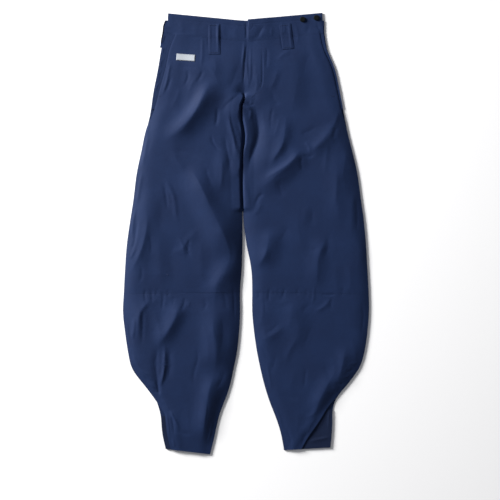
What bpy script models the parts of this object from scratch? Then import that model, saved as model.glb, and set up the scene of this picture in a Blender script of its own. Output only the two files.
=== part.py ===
"""Tobi pants laid flat: wide work trousers that swell at the knee and narrow to a close ankle.

The garment lies on its back in the XY plane with the waist towards +Y and the front up.
The origin is on the floor under the middle of its outline, and the wearer's right leg is at -X.
Every table and size below is in millimetres; meshes are made in metres.
"""

import math
from collections import namedtuple

import bmesh
import bpy
from mathutils import Vector
from mathutils.bvhtree import BVHTree

MM = 0.001

# Cloth and seams
CLOTH = 1.5
BAND = 1.8
SEAM = 0.3
SEAM_FLAT = 6.0
WAISTBAND_TALL = 49.0
LAP_TALLER = 4.0
BAND_TAPER = 0.015
BAND_LAP = 38.0
BAND_LAP_CLEAR = 6.0
BAND_LAP_FADE = 26.0
BAND_COLUMNS = 14
BAND_BACK_COLUMNS = 12
BAND_ROWS = 3

# Sections across each leg, from the waist seam to the hem. Loft is the air under the front.
Section = namedtuple("Section", "outer_x outer_y inner_x inner_y loft")
RIGHT_LEG = [
    Section(-190, 480, 5, 461, 0.3),
    Section(-203, 445, 2, 436, 1.6),
    Section(-211, 397, -1, 392, 2.6),
    Section(-223.5, 334, -3, 349, 3.2),
    Section(-231, 279, -5, 316, 3.2),
    Section(-242, 243, -7, 267, 3.2),
    Section(-251, 199, -8, 219, 3.2),
    Section(-263, 142, -9, 156, 3.3),
    Section(-271, 77, -9, 89, 3.3),
    Section(-279, 26, -8, 26, 3.3),
    Section(-287, -32, -8, -32, 3.3),
    Section(-291, -90, -10, -90, 3.3),
    Section(-294, -148, -14, -143, 3.2),
    Section(-296, -191, -13.5, -191, 3.3),
    Section(-291, -239, -16, -239, 3.3),
    Section(-283, -292, -21, -287, 3.3),
    Section(-273, -330, -29, -326, 3.2),
    Section(-245, -367, -36, -360, 3.0),
    Section(-224, -394, -45, -391, 2.8),
    Section(-207, -422, -57, -420, 2.6),
    Section(-204, -451, -67, -451, 2.4),
    Section(-201, -485, -75, -490, 2.2),
    Section(-193, -521, -86, -534, 2.0),
]
LEFT_LEG = [
    Section(187, 481, 5, 461, 0.3),
    Section(194, 445, 2, 436, 1.6),
    Section(214, 397, -1, 392, 2.6),
    Section(228, 334, -3, 349, 3.2),
    Section(238, 279, -5, 316, 3.2),
    Section(245, 243, -6, 267, 3.2),
    Section(256, 199, -6, 219, 3.2),
    Section(269, 142, -6, 156, 3.3),
    Section(278, 77, -7, 89, 3.3),
    Section(285, 26, -5, 26, 3.3),
    Section(290, -32, 2.5, -32, 3.3),
    Section(293, -85, 13.5, -85, 3.3),
    Section(296, -138, 15.5, -133, 3.2),
    Section(297, -191, 15.5, -191, 3.3),
    Section(293, -242, 20, -239, 3.3),
    Section(285, -292, 27, -287, 3.3),
    Section(273, -327, 35, -326, 3.2),
    Section(244, -367, 43, -360, 3.0),
    Section(220, -394, 52, -391, 2.8),
    Section(209, -415, 61.5, -418, 2.6),
    Section(209, -451, 75, -451, 2.4),
    Section(207, -490, 86, -487, 2.2),
    Section(204, -518, 92, -524, 2.0),
]
KNEE_SEAM = -145.0

# How far the front stops short of the side seam, where the pocket facing or ankle gusset shows
Inset = namedtuple("Inset", "height inset")
POCKET_MOUTH_RIGHT = [
    Inset(471, 21), Inset(414, 19), Inset(392, 18), Inset(332, 13), Inset(300, 6), Inset(286, 0),
]
POCKET_MOUTH_LEFT = [Inset(471, 9), Inset(414, 8), Inset(332, 7), Inset(300, 5.5), Inset(286, 0)]
ANKLE_SLIT_RIGHT = [Inset(-419, 0), Inset(-434, 10), Inset(-526, 12)]
ANKLE_SLIT_LEFT = [Inset(-405, 0), Inset(-417, 8), Inset(-451, 30), Inset(-489, 55), Inset(-519, 70)]
FLY_UNDERLAP = [Inset(471, 30), Inset(356, 30), Inset(330, 0)]
UNDERLAP = 8.0
FACING_LEAST = 5.0
NO_INSET = [Inset(0, 0)]

# How the front cloth rises from its flat seams, and lifts where a second layer lies under it
SEAM_RISE = 20.0
WAIST_RISE = 24.0
HEM_RISE = 30.0
HEM_START = 12.0
LAYER_FULL = 5.0
LAYER_WIDE = 18.0
LAYER_FADE = 20.0
FLY_FOOT = 298.0
FLY_RISE = 14.0
FLY_WIDE = 46.0
FLY_FADE = 22.0

# Folds: a ridge drawn downwards from a start through a middle to an end. West is the width of its
# slope on the -X side, east on the +X side.
Fold = namedtuple("Fold", "x0 y0 xm ym x1 y1 west east height")
CREST_ROUND = 0.6
RIGHT_FOLDS = [
    Fold(-84, 378, -117, 301, -207, 219, 27, 48, 8),
    Fold(-4, 349, -14, 310, -26, 267, 41, 8, 6),
    Fold(-144, 168, -84, 50, -38, -70, 48, 48, 8.5),
    Fold(-38, -56, -60, -114, -81, -162, 34, 48, 6),
    Fold(-79, -157, -74, -246, -74, -336, 43, 36, 6),
    Fold(-77, -331, -91, -408, -108, -514, 39, 34, 7),
    Fold(-231, 108, -236, 16, -269, -124, 19, 22, 5),
    Fold(-163, -167, -175, -210, -214, -283, 29, 31, 6.5),
    Fold(-231, -155, -255, -196, -260, -283, 19, 19, 5),
    Fold(-57, 204, -60, 151, -62, 89, 19, 22, 3.5),
]
LEFT_FOLDS = [
    Fold(97, 286, 90, 219, 56, 156, 27, 22, 5),
    Fold(218, 262, 189, 221, 152, 187, 27, 24, 5),
    Fold(133, 204, 99, 158, 20, 98, 24, 34, 7.5),
    Fold(63, 11, 54, -37, 27, -87, 34, 34, 6),
    Fold(196, -13, 174, -56, 172, -148, 29, 22, 4.5),
    Fold(111, -152, 121, -210, 126, -287, 43, 34, 4),
    Fold(97, -220, 66, -246, 30, -261, 22, 22, 4),
    Fold(242, -268, 232, -321, 218, -369, 29, 29, 6),
    Fold(210, -336, 189, -379, 157, -446, 31, 29, 6.5),
    Fold(227, 199, 222, 103, 232, 2, 39, 29, 3),
]

# Small pieces
LOOP_WIDE = 28.0
LOOP_BOW = 3.0
FRONT_LOOPS = {"belt_loop_front_right": ((-77, 503), (-76, 430)),
               "belt_loop_front_left": ((94, 503), (102, 443))}
Profile = namedtuple("Profile", "out z")
FOLDED_LOOP = [Profile(0, 5.4), Profile(0.7, 5.1), Profile(1, 3.2), Profile(0.7, 1.1), Profile(0, 1.1)]
UPRIGHT_LOOP = [Profile(0, 5.6), Profile(0.1, 4.1), Profile(0.1, 2.6), Profile(0, 1.1)]
SIDE_LOOP_LEAST = 3.0
STUD_ACROSS = 13.0
STUD_TALL = 3.0
STUDS = {"waist_stud_inner": (137.0, 514.0), "waist_stud_outer": (170.0, 518.0)}
TAB_CORNER = (-168.0, 432.0)
TAB_SIZE = (47.0, 17.0)
TAB_TURN = -4.0
TAB_THICK = 1.0

# Grid sizes
ROW_STEP = 15.0
COLUMNS = 15
BACK_COLUMNS = 5

# Colours and roughness
NAVY = (0.018, 0.032, 0.105, 1.0)
NAVY_DARK = (0.012, 0.02, 0.07, 1.0)
BLACK = (0.006, 0.006, 0.008, 1.0)
GREY_WHITE = (0.62, 0.64, 0.66, 1.0)

NAME = "tobi_pants"


def clear_scene():
    """Remove whatever the scene holds."""
    for thing in list(bpy.data.objects):
        bpy.data.objects.remove(thing)


def make_material(name, colour, roughness, metallic=0.0):
    """A plain Principled material."""
    material = bpy.data.materials.new(name)
    material.use_nodes = True
    shader = material.node_tree.nodes["Principled BSDF"]
    shader.inputs["Base Color"].default_value = colour
    shader.inputs["Roughness"].default_value = roughness
    shader.inputs["Metallic"].default_value = metallic
    return material


def smooth_step(value):
    """0 below 0, 1 above 1, and an even curve between."""
    value = min(1.0, max(0.0, value))
    return value * value * (3 - 2 * value)


def inset_at(table, height):
    """Straight interpolation down a table of insets, 0 outside its last heights."""
    if height >= table[0].height:
        return table[0].inset
    for upper, lower in zip(table, table[1:]):
        if lower.height <= height <= upper.height:
            part = (upper.height - height) / (upper.height - lower.height)
            return upper.inset + (lower.inset - upper.inset) * part
    return table[-1].inset


def middle_height(section):
    return (section.outer_y + section.inner_y) / 2


def section_at(sections, height):
    """A section at any height, on a smooth curve through the table's rows."""
    knots = [-middle_height(section) for section in sections]
    place = min(max(-height, knots[0]), knots[-1])
    index = max(i for i in range(len(knots) - 1) if knots[i] <= place)
    span = knots[index + 1] - knots[index]
    part = (place - knots[index]) / span
    values = []
    for column in range(len(sections[0])):
        def slope(i):
            before, after = max(i - 1, 0), min(i + 1, len(knots) - 1)
            return (sections[after][column] - sections[before][column]) / (knots[after] - knots[before])
        start, end = sections[index][column], sections[index + 1][column]
        square, cube = part * part, part * part * part
        values.append(start * (2 * cube - 3 * square + 1) + end * (3 * square - 2 * cube)
                      + span * slope(index) * (cube - 2 * square + part)
                      + span * slope(index + 1) * (cube - square))
    return Section(*values)


def fold_line(fold, pieces=10):
    """Points along the fold's curve."""
    start, middle, end = (Vector(fold[i:i + 2]) for i in (0, 2, 4))
    bend = 2 * middle - (start + end) / 2
    steps = [i / pieces for i in range(pieces + 1)]
    return [start * (1 - t) ** 2 + bend * 2 * t * (1 - t) + end * t * t for t in steps]


def fold_height(folds, point):
    """Height of all the folds together at a point."""
    total = 0.0
    for fold, line in folds:
        nearest, along, turn = 1e9, 0.0, 1.0
        for i, (start, end) in enumerate(zip(line, line[1:])):
            run = end - start
            part = min(1.0, max(0.0, (point - start).dot(run) / run.length_squared))
            offset = point - (start + run * part)
            if offset.length < nearest:
                nearest = offset.length
                along = (i + part) / (len(line) - 1)
                turn = run.cross(offset)
        away = min(1.0, nearest / (fold.east if turn > 0 else fold.west))
        taper = smooth_step(along / 0.3) * smooth_step((1 - along) / 0.3)
        total += fold.height * taper * (1 - away) ** 2 * (1 + 2 * CREST_ROUND * away)
    return total


def lay_grid(name, columns, rows, place, thickness, material, collection):
    """A grid whose points are placed by a function of (across, along), given its thickness."""
    mesh = bpy.data.meshes.new(name)
    form = bmesh.new()
    bmesh.ops.create_grid(form, x_segments=columns, y_segments=rows, size=0.5)
    for vertex in form.verts:
        vertex.co = Vector(place(vertex.co.x + 0.5, vertex.co.y + 0.5)) * MM
    bmesh.ops.recalc_face_normals(form, faces=form.faces)
    form.to_mesh(mesh)
    form.free()
    piece = bpy.data.objects.new(name, mesh)
    collection.objects.link(piece)
    mesh.materials.append(material)
    mesh.shade_smooth()
    wall = piece.modifiers.new("wall", "SOLIDIFY")
    wall.thickness = thickness * MM
    wall.offset = 0.0
    return piece


class Leg:
    """One leg's outline and folds, and the panels cut to them."""

    def __init__(self, side, sections, folds, pocket_mouth, ankle_slit, collection, material):
        self.side = side
        self.sections = sections
        self.folds = [(fold, fold_line(fold)) for fold in folds]
        self.pocket_mouth = pocket_mouth
        self.ankle_slit = ankle_slit
        self.collection = collection
        self.material = material
        self.top = middle_height(sections[0]) - SEAM / 2
        self.hem = middle_height(sections[-1])

    def edges(self, height):
        """Side seam point, inseam point and the unit vector between them."""
        section = section_at(self.sections, height)
        outer = Vector((section.outer_x, section.outer_y))
        inner = Vector((section.inner_x, section.inner_y))
        across = (inner - outer).normalized()
        return outer, inner - across * SEAM / 2, across, section.loft

    def outer_inset(self, height):
        """How far the front panel's own edge stands in from the side seam."""
        pocket = inset_at(self.pocket_mouth, height)
        ankle = inset_at(self.ankle_slit, height) if height < self.ankle_slit[0].height else 0.0
        return pocket + ankle

    def front_height(self, height, point, from_outer, from_inner, loft):
        """Middle of the front cloth over the floor."""
        edge = smooth_step((from_outer - SEAM_FLAT) / SEAM_RISE)
        edge *= smooth_step((from_inner - SEAM_FLAT) / SEAM_RISE)
        ends = smooth_step((self.top - height) / WAIST_RISE)
        ends *= smooth_step((height - self.hem + HEM_START) / HEM_RISE)
        air = max(0.0, loft * edge + fold_height(self.folds, point) * edge * ends)
        over_facing = smooth_step(self.outer_inset(height) / LAYER_FULL)
        over_facing *= 1 - smooth_step((from_outer - LAYER_WIDE) / LAYER_FADE)
        lift = (CLOTH + SEAM) * over_facing
        if self.side == "left":
            over_fly = smooth_step((height - FLY_FOOT) / FLY_RISE)
            over_fly *= 1 - smooth_step((from_inner - FLY_WIDE) / FLY_FADE)
            lift = max(lift, (CLOTH + SEAM) * over_fly)
        return CLOTH + SEAM + CLOTH / 2 + air + lift

    def front(self, name, top, bottom):
        """A front panel between two heights."""
        rows = round((top - bottom) / ROW_STEP)
        underlap = FLY_UNDERLAP if self.side == "right" else NO_INSET

        def place(across, along):
            height = top + (bottom - top) * along
            outer, inner, unit, loft = self.edges(height)
            start = outer + unit * self.outer_inset(height)
            end = inner + unit * inset_at(underlap, height)
            point = start.lerp(end, across)
            from_inner = (inner - point).dot(unit)
            z = self.front_height(height, point, (point - start).length, from_inner, loft)
            return point.x, point.y, z

        return lay_grid(name, COLUMNS, rows, place, CLOTH, self.material, self.collection)

    def back(self, name):
        """The back panel, flat on the floor from waist seam to hem."""
        rows = round((self.top - self.hem) / ROW_STEP / 2)

        def place(across, along):
            height = self.top + (self.hem - self.top) * along
            outer, inner, _, _ = self.edges(height)
            point = outer.lerp(inner, across)
            return point.x, point.y, CLOTH / 2

        return lay_grid(name, BACK_COLUMNS, rows, place, CLOTH, self.material, self.collection)

    def facing(self, name, table):
        """The strip that shows beside the front's set-in edge, between the two layers."""
        heights = [h / 2 for h in range(round(self.top * 2), round(self.hem * 2) - 1, -1)]
        shown = [h for h in heights if h <= table[0].height and FACING_LEAST
                 <= min(inset_at(table, h + ROW_STEP), inset_at(table, h - ROW_STEP))]
        top, bottom = max(shown), min(shown)
        rows = round((top - bottom) / ROW_STEP)

        def place(across, along):
            height = top + (bottom - top) * along
            outer, _, unit, _ = self.edges(height)
            point = outer + unit * (inset_at(table, height) + UNDERLAP) * across
            return point.x, point.y, CLOTH + SEAM + CLOTH / 2

        return lay_grid(name, 3, rows, place, CLOTH, self.material, self.collection)


def waist_seam(x):
    """Height of the seam under the waistband at a place across the waist."""
    right, left = RIGHT_LEG[0], LEFT_LEG[0]
    if x < right.inner_x:
        part = (x - right.outer_x) / (right.inner_x - right.outer_x)
        return right.outer_y + (right.inner_y - right.outer_y) * part
    part = (x - left.inner_x) / (left.outer_x - left.inner_x)
    return left.inner_y + (left.outer_y - left.inner_y) * part


def waistband(name, start, end, columns, level, collection, material, taller=0.0):
    """A stretch of the waistband between two places across the waist, taller at its start if asked."""

    def place(across, along):
        x = start + (end - start) * across
        y = waist_seam(x) + SEAM / 2 + (WAISTBAND_TALL + taller * (1 - across)) * along
        return x * (1 - BAND_TAPER * along), y, level(x)

    return lay_grid(name, columns, BAND_ROWS, place, BAND, material, collection)


def top_of(pieces):
    """A function that gives the height of the highest cloth over a point."""
    bpy.context.view_layer.update()
    depsgraph = bpy.context.evaluated_depsgraph_get()
    trees = [BVHTree.FromObject(piece, depsgraph) for piece in pieces]

    def height(x, y, reach=2.0):
        highest = 0.0
        for dx in (-reach, 0, reach):
            for dy in (-reach, 0, reach):
                start = Vector((x + dx, y + dy, 100)) * MM
                for tree in trees:
                    hit = tree.ray_cast(start, Vector((0, 0, -1)))[0]
                    if hit:
                        highest = max(highest, hit.z / MM)
        return highest

    return height


def belt_loop(name, top, bottom, surface, collection, material):
    """A flat strip tacked at both ends, standing a little off the waistband."""
    top, bottom = Vector(top), Vector(bottom)
    down = (bottom - top).normalized()
    right = Vector((-down.y, down.x))
    rows = 10

    def rest(along):
        middle = top.lerp(bottom, along)
        places = [middle + right * LOOP_WIDE * side for side in (-0.5, -0.25, 0, 0.25, 0.5)]
        return max(surface(place.x, place.y, 4.0) for place in places)

    levels = [rest(i / rows) for i in range(rows + 1)]

    def place(across, along):
        point = top.lerp(bottom, along) + right * LOOP_WIDE * (across - 0.5)
        row = round(along * rows)
        level = max(levels[max(0, row - 1):row + 2])
        bow = LOOP_BOW * math.sin(math.pi * along) ** 0.6
        return point.x, point.y, level + SEAM + CLOTH / 2 + bow

    return lay_grid(name, 2, rows, place, CLOTH, material, collection)


def side_loop(name, leg, profile, reach, collection, material):
    """A belt loop at the side. Its profile is how far out and how high its width lies."""
    sign = -1 if leg.side == "right" else 1
    start, end = 512.0, 446.0
    waist = abs(leg.sections[0].outer_x)

    def edge(y):
        if y > leg.sections[0].outer_y:
            return waist
        below = next(h for h in range(471, 400, -1) if section_at(leg.sections, h).outer_y <= y)
        return abs(section_at(leg.sections, below).outer_x)

    def place(across, along):
        y = start + (end - start) * along
        out, z = profile[round(across * (len(profile) - 1))]
        bow = math.sin(math.pi * min(1.0, along * 1.15)) ** 0.8
        proud = SIDE_LOOP_LEAST + (reach - SIDE_LOOP_LEAST) * bow
        return sign * (edge(y) + CLOTH / 2 + SEAM + 0.4 + proud * out), y, z

    return lay_grid(name, len(profile) - 1, 10, place, CLOTH, material, collection)


def stud(name, x, y, surface, collection, material):
    """A round snap stud with an eased rim."""
    mesh = bpy.data.meshes.new(name)
    form = bmesh.new()
    bmesh.ops.create_cone(form, cap_ends=True, segments=20, radius1=STUD_ACROSS / 2 * MM,
                          radius2=STUD_ACROSS / 2 * MM, depth=STUD_TALL * MM)
    rim = [edge for edge in form.edges if all(v.co.z > 0 for v in edge.verts)]
    bmesh.ops.bevel(form, geom=rim, offset=0.9 * MM, segments=2, affect="EDGES", profile=0.5)
    form.to_mesh(mesh)
    form.free()
    piece = bpy.data.objects.new(name, mesh)
    collection.objects.link(piece)
    mesh.materials.append(material)
    piece.location = Vector((x, y, surface(x, y, STUD_ACROSS / 2) + SEAM + STUD_TALL / 2)) * MM
    return piece


def plain_tab(name, surface, collection, material):
    """The small bare woven tab sewn to the right front under the waistband."""
    turn = math.radians(TAB_TURN)
    along_x = Vector((math.cos(turn), math.sin(turn)))
    along_y = Vector((-math.sin(turn), math.cos(turn)))
    corner = Vector(TAB_CORNER)

    def place(across, along):
        point = corner + along_x * TAB_SIZE[0] * across - along_y * TAB_SIZE[1] * along
        return point.x, point.y, surface(point.x, point.y, 5.0) + SEAM + TAB_THICK / 2

    return lay_grid(name, 4, 2, place, TAB_THICK, material, collection)


def build():
    """Make every piece of the trousers."""
    clear_scene()
    collection = bpy.data.collections.new(NAME)
    bpy.context.scene.collection.children.link(collection)
    twill = make_material("navy_twill", NAVY, 0.78)
    twill_dark = make_material("navy_twill_inside", NAVY_DARK, 0.85)
    enamel = make_material("black_enamel", BLACK, 0.35, 0.4)
    woven = make_material("plain_woven_tab", GREY_WHITE, 0.7)

    right = Leg("right", RIGHT_LEG, RIGHT_FOLDS, POCKET_MOUTH_RIGHT, ANKLE_SLIT_RIGHT,
                collection, twill)
    left = Leg("left", LEFT_LEG, LEFT_FOLDS, POCKET_MOUTH_LEFT, ANKLE_SLIT_LEFT,
               collection, twill)
    fronts = []
    for leg in (right, left):
        leg.back(f"back_leg_{leg.side}")
        fronts.append(leg.front(f"front_leg_{leg.side}", leg.top, KNEE_SEAM + SEAM / 2))
        leg.front(f"front_shin_{leg.side}", KNEE_SEAM - SEAM / 2, leg.hem)
        leg.material = twill_dark
        leg.facing(f"pocket_facing_{leg.side}", leg.pocket_mouth)
        leg.facing(f"ankle_gusset_{leg.side}", leg.ankle_slit)
        leg.material = twill

    outer_right, outer_left = RIGHT_LEG[0].outer_x, LEFT_LEG[0].outer_x
    fly = RIGHT_LEG[0].inner_x
    low = BAND + SEAM + BAND / 2
    waistband("waistband_back", outer_right, outer_left, BAND_BACK_COLUMNS, lambda x: BAND / 2,
              collection, twill)
    under = waistband("waistband_front_right", outer_right, fly + BAND_LAP, BAND_COLUMNS,
                      lambda x: low, collection, twill)

    def over_underlap(x):
        past = x - fly - BAND_LAP - BAND_LAP_CLEAR
        return low + (BAND + SEAM) * (1 - smooth_step(past / BAND_LAP_FADE))

    over = waistband("waistband_front_left", fly, outer_left, BAND_COLUMNS, over_underlap,
                     collection, twill, LAP_TALLER)

    surface = top_of([*fronts, under, over])
    for name, (top, bottom) in FRONT_LOOPS.items():
        belt_loop(name, top, bottom, surface, collection, twill)
    side_loop("belt_loop_side_right", right, FOLDED_LOOP, 10.0, collection, twill)
    side_loop("belt_loop_side_left", left, UPRIGHT_LOOP, 3.0, collection, twill)
    for name, (x, y) in STUDS.items():
        stud(name, x, y, surface, collection, enamel)
    plain_tab("plain_tab", surface, collection, woven)


build()
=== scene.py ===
# %% [markdown]
# Tobi pants are wide work trousers: high legs full of cloth, swelling at the knee and caught in at
# a close ankle. This pair lies flat on its back, so what the camera sees is cloth lying on cloth,
# with soft folds that start at the crotch, the knee seam and the ankle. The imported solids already
# hold every panel at its real size. Here each panel becomes a fine cloth shell on the solid's form.

import math
from collections import namedtuple

import bmesh
import bpy
import numpy as np
from mathutils import Matrix, Vector
from mathutils.bvhtree import BVHTree


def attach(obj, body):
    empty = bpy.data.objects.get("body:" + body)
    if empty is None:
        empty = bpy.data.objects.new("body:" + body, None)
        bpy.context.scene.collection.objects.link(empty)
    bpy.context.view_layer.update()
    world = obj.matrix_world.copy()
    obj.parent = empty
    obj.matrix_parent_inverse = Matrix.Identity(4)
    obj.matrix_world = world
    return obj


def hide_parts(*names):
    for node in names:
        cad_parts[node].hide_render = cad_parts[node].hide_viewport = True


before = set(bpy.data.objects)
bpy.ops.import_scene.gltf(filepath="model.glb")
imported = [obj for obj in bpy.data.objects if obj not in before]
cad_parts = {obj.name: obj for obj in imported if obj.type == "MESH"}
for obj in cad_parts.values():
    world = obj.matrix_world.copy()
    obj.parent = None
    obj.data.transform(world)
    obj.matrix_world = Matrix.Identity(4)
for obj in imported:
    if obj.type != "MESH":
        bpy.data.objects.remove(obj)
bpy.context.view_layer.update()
MM = 0.001
print("packed nodes:", len(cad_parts))

# %% [markdown]
# A garment laid out for a catalogue is photographed from straight above, from far enough away that
# the near and far edges have the same scale. A long lens over three metres up gives that. The view is
# 1.205 m wide, with a little more floor below the hems than above the waist.

# %% Camera straight above
VIEW_WIDE = 1.205
CAMERA_HIGH = 3.2
VIEW_MIDDLE = Vector((0.0102, -0.0416, 0.004))

camera_data = bpy.data.cameras.new("overhead_camera")
camera_data.lens = camera_data.sensor_width * CAMERA_HIGH / VIEW_WIDE
camera = bpy.data.objects.new("overhead_camera", camera_data)
bpy.context.scene.collection.objects.link(camera)
camera.location = VIEW_MIDDLE + Vector((0, 0, CAMERA_HIGH))
bpy.context.scene.camera = camera
print("lens in mm:", round(camera_data.lens, 1))

# %% [markdown]
# Folds in dark cloth only show when light rakes across them. The main light is a wide panel low on
# the upper left, so slopes that face it turn lighter and slopes that face away go dark. A weak one
# from the right and a pale sky keep the shadows soft. The floor is a plain pale sheet.

# %% Floor and studio light
FLOOR_SIDE = 7.0
FLOOR_LOW = -0.0003


def area_light(name, place, aim, size, power, colour=(1, 1, 1)):
    """A soft square light that looks at a point."""
    data = bpy.data.lights.new(name, "AREA")
    data.size = size
    data.energy = power
    data.color = colour
    lamp = bpy.data.objects.new(name, data)
    bpy.context.scene.collection.objects.link(lamp)
    lamp.location = place
    lamp.rotation_euler = (Vector(aim) - Vector(place)).to_track_quat("-Z", "Y").to_euler()
    return lamp


area_light("raking_light", (-3.4, 2.1, 1.5), (0, 0, 0), 1.45, 605, (1.0, 0.99, 0.97))
area_light("fill_light", (2.6, -0.8, 3.0), (0, 0, 0), 2.0, 13, (0.92, 0.95, 1.0))

world = bpy.data.worlds.new("pale_sky")
world.use_nodes = True
world.node_tree.nodes["Background"].inputs["Color"].default_value = (0.93, 0.95, 1.0, 1)
world.node_tree.nodes["Background"].inputs["Strength"].default_value = 0.22
bpy.context.scene.world = world
bpy.context.scene.view_settings.view_transform = "Standard"

floor_form = bmesh.new()
bmesh.ops.create_grid(floor_form, x_segments=1, y_segments=1, size=FLOOR_SIDE / 2,
                      matrix=Matrix.Translation((0, 0, FLOOR_LOW)))
floor_mesh = bpy.data.meshes.new("floor")
floor_form.to_mesh(floor_mesh)
floor_form.free()
floor = bpy.data.objects.new("floor", floor_mesh)
bpy.context.scene.collection.objects.link(floor)
floor_paint = bpy.data.materials.new("pale_floor")
floor_paint.use_nodes = True
floor_paint.node_tree.nodes["Principled BSDF"].inputs["Base Color"].default_value = (0.86, 0.86, 0.87, 1)
floor_paint.node_tree.nodes["Principled BSDF"].inputs["Roughness"].default_value = 0.9
floor_mesh.materials.append(floor_paint)

# %% [markdown]
# The cloth is a fine, closely woven twill: slanting ribs under a millimetre apart, a matte face
# with a faint sheen where it turns away, and small uneven patches where the dye took more or less.
# The ribs are bump, because they are far thinner than a fold. Object coordinates in metres keep
# them at their real scale on every piece, and the pattern is the same on each.

# %% Twill, thread, enamel and tape
RIB_STEP = 0.9 * MM


def add_node(tree, kind, **settings):
    """A shader node with its settings, where a name with a capital is an input."""
    node = tree.nodes.new(kind)
    for name, value in settings.items():
        if name[0].isupper():
            node.inputs[name.replace("_", " ")].default_value = value
        else:
            setattr(node, name, value)
    return node


def colour_ramp(tree, stops):
    """A colour ramp through (place, colour) stops."""
    ramp = tree.nodes.new("ShaderNodeValToRGB")
    elements = ramp.color_ramp.elements
    while len(elements) < len(stops):
        elements.new(0.5)
    for element, (place, colour) in zip(elements, stops):
        element.position = place
        element.color = (*colour, 1)
    return ramp


def twill(name, deep, middle, light, roughness, slant=0.9):
    """Woven cloth whose dye runs between three close colours."""
    material = bpy.data.materials.new(name)
    material.use_nodes = True
    tree = material.node_tree
    shader = tree.nodes["Principled BSDF"]
    shader.inputs["Roughness"].default_value = roughness
    shader.inputs["Sheen Weight"].default_value = 0.05
    shader.inputs["Sheen Roughness"].default_value = 0.45
    shader.inputs["Sheen Tint"].default_value = (0.55, 0.65, 1.0, 1)
    shader.inputs["Specular IOR Level"].default_value = 0.16
    place = add_node(tree, "ShaderNodeTexCoord")
    turn = add_node(tree, "ShaderNodeMapping")
    turn.inputs["Rotation"].default_value = (0, 0, slant)
    tree.links.new(place.outputs["Object"], turn.inputs["Vector"])
    patches = add_node(tree, "ShaderNodeTexNoise", Scale=14.0, Detail=5.0, Roughness=0.6)
    tree.links.new(place.outputs["Object"], patches.inputs["Vector"])
    slubs = add_node(tree, "ShaderNodeTexNoise", Scale=420.0, Detail=2.0)
    tree.links.new(turn.outputs["Vector"], slubs.inputs["Vector"])
    both = add_node(tree, "ShaderNodeMix", data_type="FLOAT")
    both.inputs["Factor"].default_value = 0.35
    tree.links.new(patches.outputs["Fac"], both.inputs["A"])
    tree.links.new(slubs.outputs["Fac"], both.inputs["B"])
    dye = colour_ramp(tree, [(0.3, deep), (0.5, middle), (0.72, light)])
    tree.links.new(both.outputs["Result"], dye.inputs["Fac"])
    tree.links.new(dye.outputs["Color"], shader.inputs["Base Color"])
    ribs = add_node(tree, "ShaderNodeTexWave", wave_type="BANDS", bands_direction="X",
                    Scale=2 * math.pi / RIB_STEP / 20, Distortion=0.6, Detail=1.0)
    tree.links.new(turn.outputs["Vector"], ribs.inputs["Vector"])
    weave = add_node(tree, "ShaderNodeBump", Strength=0.25, Distance=0.00012)
    tree.links.new(ribs.outputs["Fac"], weave.inputs["Height"])
    handle = add_node(tree, "ShaderNodeTexNoise", Scale=95.0, Detail=4.0, Roughness=0.55)
    tree.links.new(place.outputs["Object"], handle.inputs["Vector"])
    rumple = add_node(tree, "ShaderNodeBump", Strength=0.35, Distance=0.0007)
    tree.links.new(handle.outputs["Fac"], rumple.inputs["Height"])
    tree.links.new(weave.outputs["Normal"], rumple.inputs["Normal"])
    tree.links.new(rumple.outputs["Normal"], shader.inputs["Normal"])
    return material


navy_twill = twill("navy_twill", (0.0034, 0.0114, 0.0448), (0.0043, 0.0141, 0.0525),
                   (0.0056, 0.0171, 0.0615), 0.72)
# A darker copy of the twill: painted shade for cloth that lies deep in shadow.
painted_shade_twill = twill("navy_twill_inside", (0.0028, 0.0075, 0.027), (0.0036, 0.0095, 0.033),
                     (0.0045, 0.0115, 0.039), 0.8)


def plain_finish(name, colour, roughness, grain, depth, gloss=0.5):
    """A finish of one colour with a fine grain."""
    material = bpy.data.materials.new(name)
    material.use_nodes = True
    tree = material.node_tree
    shader = tree.nodes["Principled BSDF"]
    shader.inputs["Roughness"].default_value = roughness
    shader.inputs["Specular IOR Level"].default_value = gloss
    place = add_node(tree, "ShaderNodeTexCoord")
    speckle = add_node(tree, "ShaderNodeTexNoise", Scale=grain, Detail=3.0)
    tree.links.new(place.outputs["Object"], speckle.inputs["Vector"])
    darker = tuple(0.8 * channel for channel in colour)
    tone = colour_ramp(tree, [(0.35, darker), (0.65, colour)])
    tree.links.new(speckle.outputs["Fac"], tone.inputs["Fac"])
    tree.links.new(tone.outputs["Color"], shader.inputs["Base Color"])
    relief = add_node(tree, "ShaderNodeBump", Strength=0.4, Distance=depth)
    tree.links.new(speckle.outputs["Fac"], relief.inputs["Height"])
    tree.links.new(relief.outputs["Normal"], shader.inputs["Normal"])
    return material


navy_thread = plain_finish("navy_thread", (0.0065, 0.0165, 0.055), 0.7, 2500, 0.00005, 0.15)
black_enamel = plain_finish("black_enamel", (0.0022, 0.0036, 0.0042), 0.55, 700, 0.00002, 0.1)
woven_tape = plain_finish("plain_woven_tab", (0.36, 0.39, 0.43), 0.8, 1800, 0.00012, 0.2)
# A near-black thread: painted shade along the edge of the right side loop.
painted_shade_thread = plain_finish("black_thread_painted_shade", (0.0012, 0.0016, 0.003), 0.8, 2500, 0.00005, 0.05)
print("finishes:", [material.name for material in bpy.data.materials])

# %% [markdown]
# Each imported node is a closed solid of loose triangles. Its upward side is the face of the cloth, so
# a copy of the mesh is merged, everything that faces down or sideways is dropped, and the triangles
# are paired back into the quads that they came from. Subdividing quads gives an even, smooth cloth.

# %% Read the face of a panel from its node
FACING_UP = 0.45
CORNER_TURN = -0.75
LONGEST = 22.0


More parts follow.
